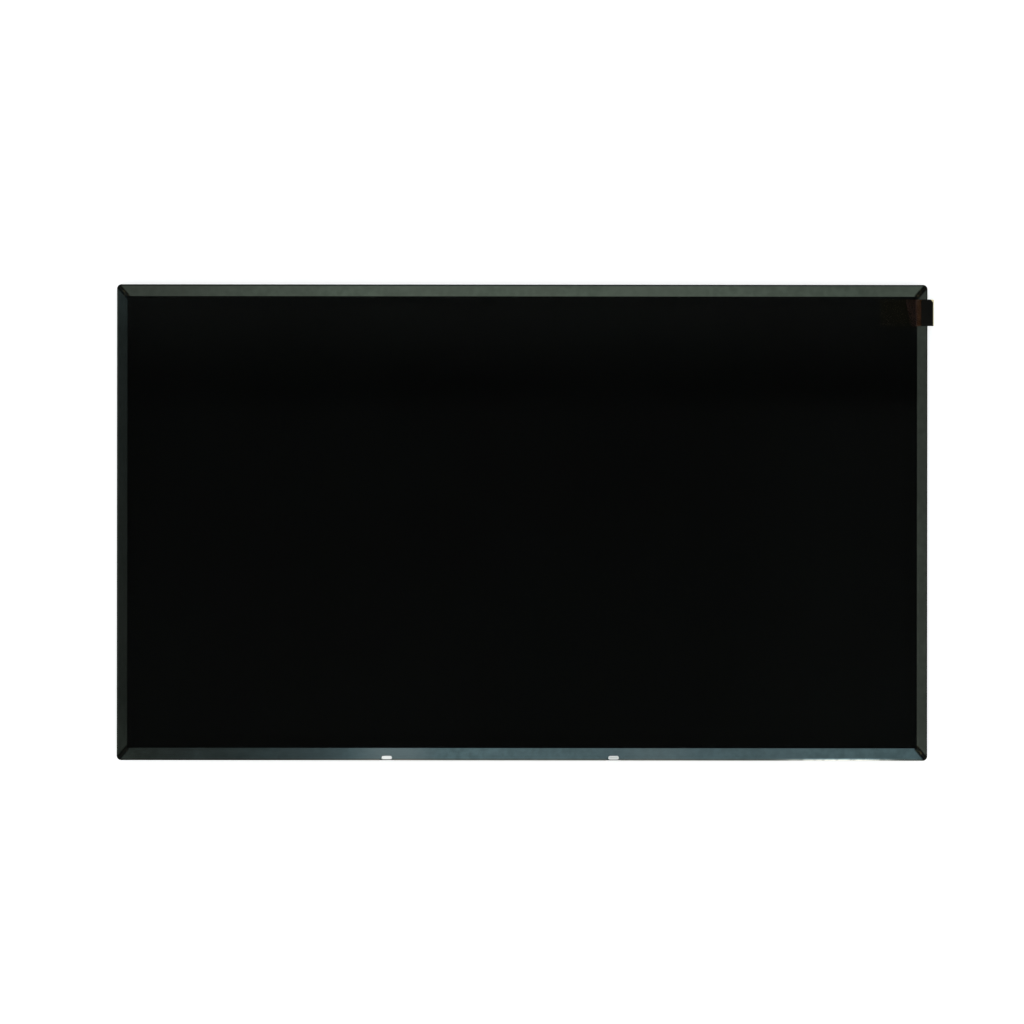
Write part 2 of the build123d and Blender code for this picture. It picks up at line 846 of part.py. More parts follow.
with BuildPart() as plug_contacts:
    with BuildSketch(Plane.XY.offset(mouth_roof_z)):
        with Locations((plug_x, mouth_low + contact_length / 2)):
            with GridLocations(contact_pitch, 0, contact_count, 1):
                Rectangle(contact_width, contact_length)
    extrude(amount=-contact_thickness)
    with BuildSketch(Plane.XY.offset(board_back_z)):
        with Locations((plug_x, plug_low - contact_foot / 2)):
            with GridLocations(contact_pitch, 0, contact_count, 1):
                Rectangle(contact_width, contact_foot)
    extrude(amount=-contact_thickness)
write(plug_contacts.part, "plug_contacts")

# Light-bar socket with its flip latch; the tail goes into the mouth from the lower edge
with BuildPart() as bar_socket:
    block(
        (tail_x - socket_length / 2, socket_low, board_back_z - socket_height),
        (tail_x + socket_length / 2, socket_low + socket_depth, board_back_z),
    )
    block(
        (tail_x - tail_width / 2 - socket_play, socket_low, tail_z - flex_thickness),
        (tail_x + tail_width / 2 + socket_play, socket_low + socket_mouth, tail_z + flex_thickness),
        mode=Mode.SUBTRACT,
    )
write(bar_socket.part, "bar_socket")
with BuildPart() as socket_latch:
    with BuildSketch(Plane.XY.offset(board_back_z - socket_height)):
        with Locations((tail_x, socket_low + latch_depth / 2)):
            Rectangle(socket_length, latch_depth)
    extrude(amount=-latch_height)
    fillet(socket_latch.edges().filter_by(Axis.X).group_by(Axis.Z)[0], latch_height / 2)
write(socket_latch.part, "socket_latch")


def package(name, x, y, length, width):
    """A moulded chip package on the back of the board, with the draft of its mould."""
    with BuildPart() as body:
        with BuildSketch(Plane.XY.offset(board_back_z)):
            with Locations((x, y)):
                Rectangle(length, width)
        extrude(amount=-package_height, taper=package_draft)
    write(body.part, name)


# Chips: timing with leads on four sides, its memory, the power chip and the light driver
package("timing_chip", timing_x, board_middle, timing_size, timing_size)
package("memory_chip", timing_x - memory_gap, board_middle, memory_length, memory_width)
package("power_chip", power_x, board_middle, power_size, power_size)
package("lamp_driver", lamp_driver_x, board_middle, lamp_driver_size, lamp_driver_size)
with BuildPart() as timing_chip_leads:
    with BuildSketch(Plane.XY.offset(board_back_z)):
        with Locations((timing_x, board_middle)):
            with PolarLocations((timing_size + lead_reach) / 2, 4):
                with GridLocations(0, lead_pitch, 1, lead_count):
                    Rectangle(lead_reach, lead_width)
    extrude(amount=-lead_thickness)
write(timing_chip_leads.part, "timing_chip_leads")

# Coils beside the power chip and the light driver
for name, coil_x in (("power_coil", power_x - coil_gap), ("lamp_coil", lamp_driver_x + coil_gap)):
    with BuildPart() as coil:
        with BuildSketch(Plane.XY.offset(board_back_z)):
            with Locations((coil_x, board_middle)):
                RectangleRounded(coil_size, coil_size, coil_radius)
        extrude(amount=-coil_height)
    write(coil.part, name)

# Fuse, capacitors in a row along the upper edge, and two rows of resistors
with BuildPart() as fuse:
    with Locations((lamp_driver_x + fuse_gap, board_middle, board_back_z - fuse_height / 2)):
        Box(fuse_length, fuse_width, fuse_height)
write(fuse.part, "fuse")
with BuildPart() as capacitors:
    capacitor_x = plug_x - plug_length / 2 - capacitor_count * capacitor_pitch / 2
    with BuildSketch(Plane.XY.offset(board_back_z)):
        with Locations((capacitor_x, board_top - capacitor_row)):
            with GridLocations(capacitor_pitch, 0, capacitor_count, 1):
                Rectangle(capacitor_length, capacitor_width)
    extrude(amount=-capacitor_width)
write(capacitors.part, "capacitors")
with BuildPart() as resistors:
    with BuildSketch(Plane.XY.offset(board_back_z)):
        with Locations((resistor_x, board_middle)):
            with GridLocations(resistor_pitch, resistor_pitch, resistor_columns, resistor_rows):
                Rectangle(resistor_length, resistor_width)
    extrude(amount=-resistor_height)
write(resistors.part, "resistors")
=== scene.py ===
import bpy
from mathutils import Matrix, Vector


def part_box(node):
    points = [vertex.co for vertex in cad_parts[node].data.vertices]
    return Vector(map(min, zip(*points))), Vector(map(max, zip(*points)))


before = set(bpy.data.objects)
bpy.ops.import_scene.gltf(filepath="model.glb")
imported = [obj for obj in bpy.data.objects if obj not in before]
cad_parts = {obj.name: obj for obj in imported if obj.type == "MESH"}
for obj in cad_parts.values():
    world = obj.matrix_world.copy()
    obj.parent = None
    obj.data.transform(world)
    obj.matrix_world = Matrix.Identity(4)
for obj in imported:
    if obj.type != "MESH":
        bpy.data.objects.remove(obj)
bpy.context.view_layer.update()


# Rear cover
# The tray that closes the back: aluminium sheet in mill finish, pressed with beads and a rim that the
# frame's lugs hold. The rolling grain runs along the panel, and handling has left dull patches on it.

noise_reach = (0.3, 0.7)
patch_edge = (0.35, 0.65)


def place(tree, kind, inputs=None, **settings):
    """Adds a node, makes its settings, and fills or links the inputs that are named."""
    node = tree.nodes.new(kind)
    for key, value in settings.items():
        setattr(node, key, value)
    for key, value in (inputs or {}).items():
        if isinstance(value, bpy.types.NodeSocket):
            tree.links.new(value, node.inputs[key])
        else:
            node.inputs[key].default_value = value
    return node


def compute(tree, operation, *values):
    """One step of arithmetic on values that change over a surface."""
    return place(tree, "ShaderNodeMath", dict(enumerate(values)), operation=operation).outputs[0]


def product(tree, first, *factors):
    """The values multiplied together."""
    for factor in factors:
        first = compute(tree, "MULTIPLY", first, factor)
    return first


def span(tree, value, start, end, low=0.0, high=1.0):
    """Turns the stretch from start to end of a value into low to high, with soft ends."""
    inputs = {"Value": value, "From Min": start, "From Max": end, "To Min": low, "To Max": high}
    return place(tree, "ShaderNodeMapRange", inputs, interpolation_type="SMOOTHSTEP").outputs["Result"]


def spread(tree, value, low, high):
    """Spreads noise, which keeps to the middle of its range, from low to high."""
    return span(tree, value, *noise_reach, low, high)


def between(tree, mask, low, high):
    """Goes from low to high as the mask goes from 0 to 1."""
    return span(tree, mask, 0.0, 1.0, low, high)


def tint(tree, mask, first, second):
    """Goes from the first colour to the second as the mask goes from 0 to 1."""
    colours = [c if isinstance(c, bpy.types.NodeSocket) else (*c, 1.0) for c in (first, second)]
    return place(tree, "ShaderNodeMix", {0: mask, 6: colours[0], 7: colours[1]}, data_type="RGBA").outputs[2]


def surface_point(tree):
    """Where a point of the surface is on the panel, in metres."""
    return place(tree, "ShaderNodeTexCoord").outputs["Object"]


def axes_of(tree, vector):
    """The three parts of a vector, each by itself."""
    return place(tree, "ShaderNodeSeparateXYZ", {0: vector}).outputs


def stretch(tree, point, factors):
    """Draws a pattern out along some axes by scaling the point that it is read at."""
    return place(tree, "ShaderNodeVectorMath", {0: point, 1: factors}, operation="MULTIPLY").outputs[0]


def noise(tree, scale, detail=2.0, point=None):
    """Soft random values over the surface, with about scale spots to a metre."""
    inputs = {"Vector": point or surface_point(tree), "Scale": scale, "Detail": detail}
    return place(tree, "ShaderNodeTexNoise", inputs).outputs[0]


def cells(tree, scale, **settings):
    """Random cells over the surface, about scale of them to a metre."""
    inputs = {"Vector": surface_point(tree), "Scale": scale}
    return place(tree, "ShaderNodeTexVoronoi", inputs, **settings).outputs


def start_group(name, inputs, outputs):
    """A shader node group with its named sockets, and what leads into it and out of it."""
    group = bpy.data.node_groups.new(name, "ShaderNodeTree")
    for label, value in inputs.items():
        kind = "NodeSocketFloat" if isinstance(value, float) else "NodeSocketVector"
        group.interface.new_socket(label, in_out="INPUT", socket_type=kind).default_value = value
    for label in outputs:
        group.interface.new_socket(label, in_out="OUTPUT", socket_type="NodeSocketFloat")
    return group, group.nodes.new("NodeGroupInput").outputs, group.nodes.new("NodeGroupOutput").inputs


def use_group(tree, group, **inputs):
    """Places a shared effect in a material with that material's own values."""
    named = {label.replace("_", " "): value for label, value in inputs.items()}
    return place(tree, "ShaderNodeGroup", named, node_tree=group).outputs


def make_material(name, **plain):
    """A material whose shader has these plain values, with its node tree and the shader's inputs."""
    material = bpy.data.materials.new(name)
    material.use_nodes = True
    shader = material.node_tree.nodes["Principled BSDF"]
    for label, value in plain.items():
        socket = shader.inputs[label.replace("_", " ")]
        socket.default_value = (*value, 1.0) if isinstance(value, tuple) else value
    return material, material.node_tree, shader.inputs


def feed(tree, inputs, **sources):
    """Links what changes over the surface to inputs of the shader or to a group's outputs."""
    for label, source in sources.items():
        tree.links.new(source, inputs[label.replace("_", " ")])


def relief(tree, height, strength, distance):
    """A surface normal with this height pressed into it, distance in metres."""
    inputs = {"Height": height, "Strength": strength, "Distance": distance}
    return place(tree, "ShaderNodeBump", inputs).outputs["Normal"]


def dress(material, *names):
    """Puts the material on CAD nodes, in place of the plain one that they came with."""
    for name in names:
        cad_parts[name].material_slots[0].material = material


rolled_grain, into, out = start_group(
    "rolled_grain", {"Stretch": (50.0, 4000.0, 4000.0), "Patch Scale": 25.0}, ["Grain", "Patches"]
)
grain_point = stretch(rolled_grain, surface_point(rolled_grain), into["Stretch"])
feed(rolled_grain, out,
     Grain=noise(rolled_grain, scale=1.0, detail=3.0, point=grain_point),
     Patches=span(rolled_grain, noise(rolled_grain, into["Patch Scale"], detail=4.0), *patch_edge))

smear_stretch = (1.0, 0.45, 1.0)
smear_edge = (0.5, 0.72)
specked_cells = (0.55, 1.0)
speck_radius = 0.07
handling_marks, into, out = start_group(
    "handling_marks", {"Smear Scale": 20.0, "Speck Scale": 150.0}, ["Smears", "Specks"]
)
smear_point = stretch(handling_marks, surface_point(handling_marks), smear_stretch)
smear_noise = noise(handling_marks, into["Smear Scale"], detail=5.0, point=smear_point)
speck_cells = cells(handling_marks, into["Speck Scale"])
speck_draw = axes_of(handling_marks, speck_cells["Color"])["X"]
speck_limit = span(handling_marks, speck_draw, *specked_cells, high=speck_radius)
feed(handling_marks, out,
     Smears=span(handling_marks, smear_noise, *smear_edge),
     Specks=compute(handling_marks, "LESS_THAN", speck_cells["Distance"], speck_limit))

tray_dull = (0.645, 0.65, 0.66)
tray_bright = (0.68, 0.685, 0.69)
tray_smear_dullness = 0.06
tray_aluminium, tree, shader = make_material("tray_aluminium", Metallic=1.0)
mill = use_group(tree, rolled_grain, Stretch=(40.0, 3000.0, 3000.0), Patch_Scale=18.0)
marks = use_group(tree, handling_marks, Smear_Scale=14.0, Speck_Scale=120.0)
mill_dullness = spread(tree, mill["Grain"], low=0.3, high=0.42)
feed(tree, shader,
     Base_Color=tint(tree, mill["Patches"], tray_dull, tray_bright),
     Roughness=compute(tree, "MULTIPLY_ADD", marks["Smears"], tray_smear_dullness, mill_dullness),
     Normal=relief(tree, mill["Grain"], strength=0.15, distance=0.0001))
dress(tray_aluminium, "rear_cover")


# Light bar
# A long flat flex, white coated, with two copper tracks under the coating and a tail to the board.
# Moulded light packages are soldered along it, each with a yellow window towards the guide.

bar_track_pitch = 0.0009
bar_track_edge = (0.4 * bar_track_pitch, 0.55 * bar_track_pitch)
bar_coating = (0.80, 0.79, 0.72)
bar_track_colour = (0.72, 0.68, 0.55)
bar_flex, tree, shader = make_material("bar_flex", Roughness=0.45)
across = axes_of(tree, surface_point(tree))["Y"]
track_mask = span(tree, compute(tree, "PINGPONG", across, bar_track_pitch), *bar_track_edge)
feed(tree, shader,
     Base_Color=tint(tree, track_mask, bar_coating, bar_track_colour),
     Normal=relief(tree, track_mask, strength=0.3, distance=0.00002))
dress(bar_flex, "light_bar_flex")


def facing(tree):
    """How far a point of the surface faces along each axis, from -1 to 1."""
    return axes_of(tree, place(tree, "ShaderNodeNewGeometry").outputs["Normal"])


window_facing = (0.8, 0.95)
package_white = (0.86, 0.86, 0.82)
window_yellow = (0.85, 0.72, 0.2)
light_package, tree, shader = make_material("light_package", Roughness=0.3)
window_mask = span(tree, facing(tree)["Y"], *window_facing)
feed(tree, shader, Base_Color=tint(tree, window_mask, package_white, window_yellow))
dress(light_package, "light_packages")


# Reflector sheet
# A white film of foamed polyester that lies on the tray and sends the light back up.

reflector_grey = (0.90, 0.90, 0.89)
reflector_white = (0.94, 0.94, 0.93)
reflector, tree, shader = make_material("reflector")
cloud = noise(tree, scale=400.0, detail=3.0)
feed(tree, shader,
     Base_Color=tint(tree, cloud, reflector_grey, reflector_white),
     Roughness=spread(tree, cloud, low=0.3, high=0.45))
dress(reflector, "reflector_sheet")


# Light guide
# A clear acrylic plate, polished on its edges, with fine dots on its back that let the light out.

guide_tint = (0.93, 0.96, 0.96)
dot_scale = 900.0
dot_edge = (0.3, 0.2)
guide_acrylic, tree, shader = make_material(
    "guide_acrylic", Base_Color=guide_tint, Transmission_Weight=1.0, IOR=1.49)
from_dot = cells(tree, dot_scale)["Distance"]
feed(tree, shader,
     Roughness=span(tree, from_dot, *dot_edge, low=0.04, high=0.5),
     Normal=relief(tree, span(tree, from_dot, *dot_edge), strength=0.4, distance=0.00002))
dress(guide_acrylic, "light_guide")


# Optical films
# Two milky diffusers with two finely ribbed prism films between them, cut to one size and laid loose.
# The ribs of the one prism film run across those of the other.

diffuser_milk = (0.86, 0.87, 0.86)
diffuser_white = (0.91, 0.92, 0.91)
diffuser, tree, shader = make_material("diffuser", Transmission_Weight=0.4, IOR=1.45)
haze = noise(tree, scale=2500.0)
feed(tree, shader,
     Base_Color=tint(tree, haze, diffuser_milk, diffuser_white),
     Roughness=spread(tree, haze, low=0.6, high=0.75),
     Normal=relief(tree, haze, strength=0.2, distance=0.00002))
dress(diffuser, "upper_diffuser", "lower_diffuser")

rib_pitch = 0.00012
prism_tint = (0.84, 0.86, 0.87)
for node_name, axis in (("upper_prism_sheet", "X"), ("lower_prism_sheet", "Y")):
    prism_film, tree, shader = make_material(
        "prism_film_" + axis.lower(), Base_Color=prism_tint, Transmission_Weight=0.8, IOR=1.5)
    rib_wave = compute(tree, "PINGPONG", axes_of(tree, surface_point(tree))[axis], rib_pitch)
    rib_height = compute(tree, "DIVIDE", rib_wave, rib_pitch)
    feed(tree, shader,
         Roughness=spread(tree, noise(tree, scale=60.0), low=0.12, high=0.2),
         Normal=relief(tree, rib_height, strength=0.5, distance=rib_pitch))
    dress(prism_film, node_name)


# Moulded frame
# White polycarbonate, injection moulded in one shot, which carries the cell and the films.
# Its hooks snap into the bezel's sides, and its two pegs stand in the slots of the lower flange.

flow_scale = 30.0
moulded_skin, into, out = start_group("moulded_skin", {"Skin Scale": 3000.0}, ["Skin", "Flow"])
feed(moulded_skin, out,
     Skin=noise(moulded_skin, into["Skin Scale"], detail=3.0),
     Flow=span(moulded_skin, noise(moulded_skin, flow_scale, detail=3.0), *patch_edge))

frame_grey = (0.84, 0.85, 0.83)
frame_white = (0.89, 0.90, 0.89)
frame_plastic, tree, shader = make_material("frame_plastic")
moulded = use_group(tree, moulded_skin, Skin_Scale=2500.0)
feed(tree, shader,
     Base_Color=tint(tree, moulded["Flow"], frame_grey, frame_white),
     Roughness=spread(tree, moulded["Skin"], low=0.38, high=0.52),
     Normal=relief(tree, moulded["Skin"], strength=0.15, distance=0.00003))
dress(frame_plastic, "mould_frame")


# Tapped bars
# Four short bars of nickel-plated steel inside the bezel's sides, drilled and tapped for the side screws.

bar_dull = (0.52, 0.51, 0.48)
bar_bright = (0.60, 0.59, 0.57)
bar_steel, tree, shader = make_material("bar_steel", Metallic=1.0)
plating = use_group(tree, rolled_grain, Stretch=(4000.0, 120.0, 4000.0), Patch_Scale=150.0)
feed(tree, shader,
     Base_Color=tint(tree, plating["Patches"], bar_dull, bar_bright),
     Roughness=spread(tree, plating["Grain"], low=0.25, high=0.38),
     Normal=relief(tree, plating["Grain"], strength=0.1, distance=0.0001))
dress(bar_steel, *(f"tapped_bar_{side}_{end}" for side in ("left", "right") for end in ("lower", "upper")))


# Display cell
# Two sheets of glass with the picture layer sealed between them, a polariser on each side, and black
# foam tape that beds the cell on the frame. Switched off, the front polariser is a deep gloss black.

glass_tint = (0.80, 0.86, 0.83)
cell_glass, tree, shader = make_material(
    "cell_glass", Base_Color=glass_tint, Transmission_Weight=1.0, IOR=1.51)
feed(tree, shader, Roughness=spread(tree, noise(tree, scale=40.0), low=0.0, high=0.03))
dress(cell_glass, "array_glass", "colour_filter_glass")

polariser_cast = (1.0, 1.25, 1.15)
smeared_gloss = 1.4
for node_name, shade, gloss in (("rear_polariser", 0.02, 0.2), ("front_polariser", 0.0006, 0.03)):
    polariser, tree, shader = make_material(node_name, Specular_IOR_Level=0.2)
    stretch_lines = use_group(tree, rolled_grain, Stretch=(8.0, 400.0, 400.0), Patch_Scale=12.0)
    marks = use_group(tree, handling_marks, Smear_Scale=9.0, Speck_Scale=60.0)
    cast_shade = tuple(shade * part for part in polariser_cast)
    feed(tree, shader,
         Base_Color=tint(tree, stretch_lines["Patches"], (shade, shade, shade), cast_shade),
         Roughness=between(tree, marks["Smears"], gloss, smeared_gloss * gloss))
    dress(polariser, node_name)

foam_black = (0.02, 0.02, 0.02)
foam_grey = (0.045, 0.045, 0.045)
rim_tape, tree, shader = make_material("rim_tape")
foam_cells = noise(tree, scale=5000.0)
feed(tree, shader,
     Base_Color=tint(tree, foam_cells, foam_black, foam_grey),
     Roughness=spread(tree, foam_cells, low=0.75, high=0.9),
     Normal=relief(tree, foam_cells, strength=0.4, distance=0.0001))
dress(rim_tape, "rim_tape")


# Driver films
# Three brown polyimide films, bonded to the array glass and bent round the lower edge to the board.
# Fine copper tracks fan along each one, and its driver chip is a thin bar of bare silicon.

film_track_pitch = 0.0005
film_track_edge = (0.45 * film_track_pitch, 0.6 * film_track_pitch)
film_brown = (0.30, 0.13, 0.035)
film_copper = (0.55, 0.28, 0.09)
driver_film, tree, shader = make_material("driver_film")
film_across = axes_of(tree, surface_point(tree))["X"]
copper_mask = span(tree, compute(tree, "PINGPONG", film_across, film_track_pitch), *film_track_edge)
feed(tree, shader,
     Base_Color=tint(tree, copper_mask, film_brown, film_copper),
     Roughness=between(tree, copper_mask, low=0.4, high=0.3),
     Metallic=between(tree, copper_mask, low=0.0, high=0.4))
dress(driver_film, *(f"driver_film_{number}" for number in (1, 2, 3)))

silicon_dark = (0.03, 0.03, 0.04)
silicon_grey = (0.05, 0.05, 0.06)
driver_chip, tree, shader = make_material("driver_chip")
lapping = use_group(tree, rolled_grain, Stretch=(300.0, 300.0, 6000.0), Patch_Scale=200.0)
feed(tree, shader,
     Base_Color=tint(tree, lapping["Patches"], silicon_dark, silicon_grey),
     Roughness=spread(tree, lapping["Grain"], low=0.15, high=0.3))
dress(driver_chip, *(f"driver_chip_{number}" for number in (1, 2, 3)))


# Drive board
# A narrow glass-epoxy board with green solder mask over its tracks and tinned vias between them.
# It hangs under the tray's lower edge on double-sided tape, with its components facing back.

track_pitch = 0.0015
track_edge = (0.24 * track_pitch, 0.30 * track_pitch)
track_run = 0.023
track_share = 0.6
pour_scale = 70.0
pour_share = 0.38
via_scale = 260.0
via_cells_used = (0.5, 0.8)
via_radius = 0.09
edge_facing = (0.6, 0.4)
mask_green = (0.010, 0.105, 0.045)
mask_on_copper = (0.018, 0.155, 0.065)
via_tin = (0.62, 0.60, 0.52)
cut_resin = (0.42, 0.40, 0.22)
board, tree, shader = make_material("board")
along = axes_of(tree, surface_point(tree))
row = compute(tree, "FLOOR", compute(tree, "DIVIDE", along["Y"], track_pitch))
row_shift = place(tree, "ShaderNodeTexWhiteNoise", {"W": row}, noise_dimensions="1D").outputs["Value"]
run = compute(tree, "FLOOR", compute(tree, "ADD", compute(tree, "DIVIDE", along["X"], track_run), row_shift))
run_cell = place(tree, "ShaderNodeCombineXYZ", {"X": run, "Y": row}).outputs[0]
run_draw = place(tree, "ShaderNodeTexWhiteNoise", {"Vector": run_cell}).outputs["Value"]
track_line = product(tree, span(tree, compute(tree, "PINGPONG", along["Y"], track_pitch / 2), *track_edge),
                     compute(tree, "GREATER_THAN", run_draw, 1.0 - track_share))
pour_draw = axes_of(tree, cells(tree, pour_scale, distance="CHEBYCHEV")["Color"])["Y"]
copper_here = compute(tree, "MAXIMUM", track_line, compute(tree, "GREATER_THAN", pour_draw, 1.0 - pour_share))
via_cells = cells(tree, via_scale)
via_limit = span(tree, axes_of(tree, via_cells["Color"])["X"], *via_cells_used, high=via_radius)
via_here = compute(tree, "LESS_THAN", via_cells["Distance"], via_limit)
cut_edge = span(tree, compute(tree, "ABSOLUTE", facing(tree)["Z"]), *edge_facing)
masked = tint(tree, copper_here, mask_green, mask_on_copper)
feed(tree, shader,
     Base_Color=tint(tree, cut_edge, tint(tree, via_here, masked, via_tin), cut_resin),
     Roughness=spread(tree, noise(tree, scale=1500.0), low=0.28, high=0.42),
     Metallic=via_here,
     Normal=relief(tree, copper_here, strength=0.4, distance=0.00004))
dress(board, "drive_board")

tape_buff = (0.68, 0.66, 0.55)
tape_cream = (0.78, 0.76, 0.66)
board_tape, tree, shader = make_material("board_tape")
backing = noise(tree, scale=800.0, detail=3.0)
feed(tree, shader,
     Base_Color=tint(tree, backing, tape_buff, tape_cream),
     Roughness=spread(tree, backing, low=0.5, high=0.65))
dress(board_tape, "board_tape")


# Signal connector and light-bar socket
# The signal connector has an ivory housing in a tinned steel shell, with gold-plated contacts.
# The light bar's tail goes into a low socket of the same ivory resin with a black latch.

plug_tan = (0.74, 0.69, 0.58)
plug_ivory = (0.82, 0.78, 0.68)
plug_plastic, tree, shader = make_material("plug_plastic")
moulded = use_group(tree, moulded_skin, Skin_Scale=4000.0)
feed(tree, shader,
     Base_Color=tint(tree, moulded["Flow"], plug_tan, plug_ivory),
     Roughness=spread(tree, moulded["Skin"], low=0.4, high=0.55))
dress(plug_plastic, "plug_housing", "bar_socket")

for finish_name, node_name, dull, bright in (
    ("plug_steel", "plug_shell", (0.68, 0.68, 0.66), (0.73, 0.73, 0.71)),
    ("contact_gold", "plug_contacts", (0.75, 0.53, 0.20), (0.88, 0.68, 0.30)),
    ("lead_tin", "timing_chip_leads", (0.62, 0.62, 0.60), (0.78, 0.78, 0.76)),
):
    plated, tree, shader = make_material(finish_name, Metallic=1.0)
    plating = use_group(tree, rolled_grain, Stretch=(200.0, 4000.0, 4000.0), Patch_Scale=500.0)
    feed(tree, shader,
         Base_Color=tint(tree, plating["Patches"], dull, bright),
         Roughness=spread(tree, plating["Grain"], low=0.2, high=0.34))
    dress(plated, node_name)

latch_black = (0.04, 0.036, 0.032)
latch_brown = (0.06, 0.054, 0.048)
latch_plastic, tree, shader = make_material("latch_plastic")
moulded = use_group(tree, moulded_skin, Skin_Scale=4000.0)
feed(tree, shader,
     Base_Color=tint(tree, moulded["Flow"], latch_black, latch_brown),
     Roughness=spread(tree, moulded["Skin"], low=0.45, high=0.6))
dress(latch_plastic, "socket_latch")


# Board components
# Chips in black moulding resin, ferrite coils, tan capacitors, black resistors and one white fuse.
# The small ceramic pieces are bars with tinned ends, soldered flat along the board.

resin_black = (0.022, 0.022, 0.024)
resin_grey = (0.032, 0.032, 0.034)
package_resin, tree, shader = make_material("package_resin")
moulded = use_group(tree, moulded_skin, Skin_Scale=6000.0)
feed(tree, shader,
     Base_Color=tint(tree, moulded["Flow"], resin_black, resin_grey),
     Roughness=spread(tree, moulded["Skin"], low=0.5, high=0.68),
     Normal=relief(tree, moulded["Skin"], strength=0.25, distance=0.00003))
dress(package_resin, "timing_chip", "memory_chip", "power_chip", "lamp_driver")

ferrite_dark = (0.06, 0.06, 0.065)
ferrite_grey = (0.13, 0.13, 0.14)
coil_ferrite, tree, shader = make_material("coil_ferrite")
grains = noise(tree, scale=5000.0, detail=3.0)
feed(tree, shader,
     Base_Color=tint(tree, grains, ferrite_dark, ferrite_grey),
     Roughness=spread(tree, grains, low=0.55, high=0.75),
     Normal=relief(tree, grains, strength=0.3, distance=0.00005))
dress(coil_ferrite, "power_coil", "lamp_coil")

mottle_scale = 3000.0
tinned_ends, into, out = start_group(
    "tinned_ends", {"First Middle": 0.0, "Pitch": 0.01, "Bare Half": 0.0005}, ["Tinned", "Mottle"]
)
along = axes_of(tinned_ends, surface_point(tinned_ends))["X"]
from_middle = compute(tinned_ends, "PINGPONG", compute(tinned_ends, "SUBTRACT", along, into["First Middle"]),
                      compute(tinned_ends, "DIVIDE", into["Pitch"], 2.0))
feed(tinned_ends, out,
     Tinned=compute(tinned_ends, "GREATER_THAN", from_middle, into["Bare Half"]),
     Mottle=span(tinned_ends, noise(tinned_ends, mottle_scale, detail=3.0), *patch_edge))

solder_colour = (0.66, 0.66, 0.64)
bare_half_share = 0.3
for finish_name, node_name, length, pitch, dark, light in (
    ("capacitor_ceramic", "capacitors", 0.0016, 0.0105, (0.42, 0.29, 0.17), (0.52, 0.38, 0.24)),
    ("resistor_ceramic", "resistors", 0.0010, 0.0050, (0.03, 0.03, 0.03), (0.06, 0.06, 0.06)),
    ("fuse_ceramic", "fuse", 0.0032, 0.0200, (0.78, 0.78, 0.73), (0.86, 0.86, 0.82)),
):
    ceramic, tree, shader = make_material(finish_name)
    ends = use_group(tree, tinned_ends, First_Middle=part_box(node_name)[0].x + length / 2,
                     Pitch=pitch, Bare_Half=bare_half_share * length)
    feed(tree, shader,
         Base_Color=tint(tree, ends["Tinned"], tint(tree, ends["Mottle"], dark, light), solder_colour),
         Metallic=ends["Tinned"],
         Roughness=between(tree, ends["Mottle"], low=0.3, high=0.45))
    dress(ceramic, node_name)


# Board guard
# A smoky clear polyester film, folded up from the bezel's edge to the tray and stuck along both sides.
# It keeps fingers and metal off the board, and the components show through it.

guard_smoke = (0.06, 0.06, 0.065)
guard_dust = (0.35, 0.35, 0.33)
board_guard, tree, shader = make_material("board_guard", IOR=1.45)
marks = use_group(tree, handling_marks, Smear_Scale=30.0, Speck_Scale=140.0)
feed(tree, shader,
     Base_Color=tint(tree, marks["Specks"], guard_smoke, guard_dust),
     Roughness=between(tree, marks["Smears"], low=0.14, high=0.26),
     Alpha=between(tree, marks["Smears"], low=0.16, high=0.22),
     Normal=relief(tree, noise(tree, scale=25.0, detail=1.0), strength=0.1, distance=0.002))
dress(board_guard, "board_guard")


# Front bezel
# Thin steel sheet with a dark satin coating, stamped in one piece: a slightly wavy flange that falls to the
# screen, coined mitres with painted shade in them and at the corner tips, and a skirt that clips over the
# frame.
# The folded edge has painted shade, less of it along the bottom, and a painted highlight at the lower right.
# The slots have scuffs round them.

bezel_low, bezel_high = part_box("front_bezel")
film_low, film_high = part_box("screen_film")
film_inset = 0.0004
opening_x = film_high.x + film_inset
opening_top = film_high.y + film_inset
opening_bottom = -film_low.y + film_inset
bezel_steel, tree, shader = make_material("bezel_steel", Metallic=1.0, Specular_Tint=(0.45, 0.47, 0.45))
at = axes_of(tree, surface_point(tree))


def across_flange(distance, inner, outer):
    """0 at the lip of the opening and 1 at the outline, for a distance from the panel's middle."""
    return compute(tree, "DIVIDE", compute(tree, "SUBTRACT", distance, inner), outer - inner)


def apart(first, second):
    """How far two values are apart."""
    return compute(tree, "ABSOLUTE", compute(tree, "SUBTRACT", first, second))


side_part = across_flange(compute(tree, "ABSOLUTE", at["X"]), opening_x, bezel_high.x)
top_part = across_flange(at["Y"], opening_top, bezel_high.y)
bottom_part = across_flange(compute(tree, "MULTIPLY", at["Y"], -1.0), opening_bottom, -bezel_low.y)
end_part = compute(tree, "MAXIMUM", top_part, bottom_part)
corner_part = compute(tree, "MINIMUM", side_part, end_part)
bend_z = bezel_high.z - 0.0009
bend_fade = 0.0003
on_top = span(tree, at["Z"], bend_z - bend_fade, bend_z)

coat_dark = (0.116, 0.128, 0.115)
coat_light = (0.154, 0.168, 0.152)
coat_patch = (0.152, 0.156, 0.145)
patch_strength = 0.5
coating = use_group(tree, rolled_grain, Stretch=(430.0, 380.0, 430.0), Patch_Scale=28.0)
marks = use_group(tree, handling_marks, Smear_Scale=45.0, Speck_Scale=260.0)
coat = tint(tree, spread(tree, coating["Grain"], 0.0, 1.0), coat_dark, coat_light)
coat = tint(tree, product(tree, coating["Patches"], patch_strength), coat, coat_patch)

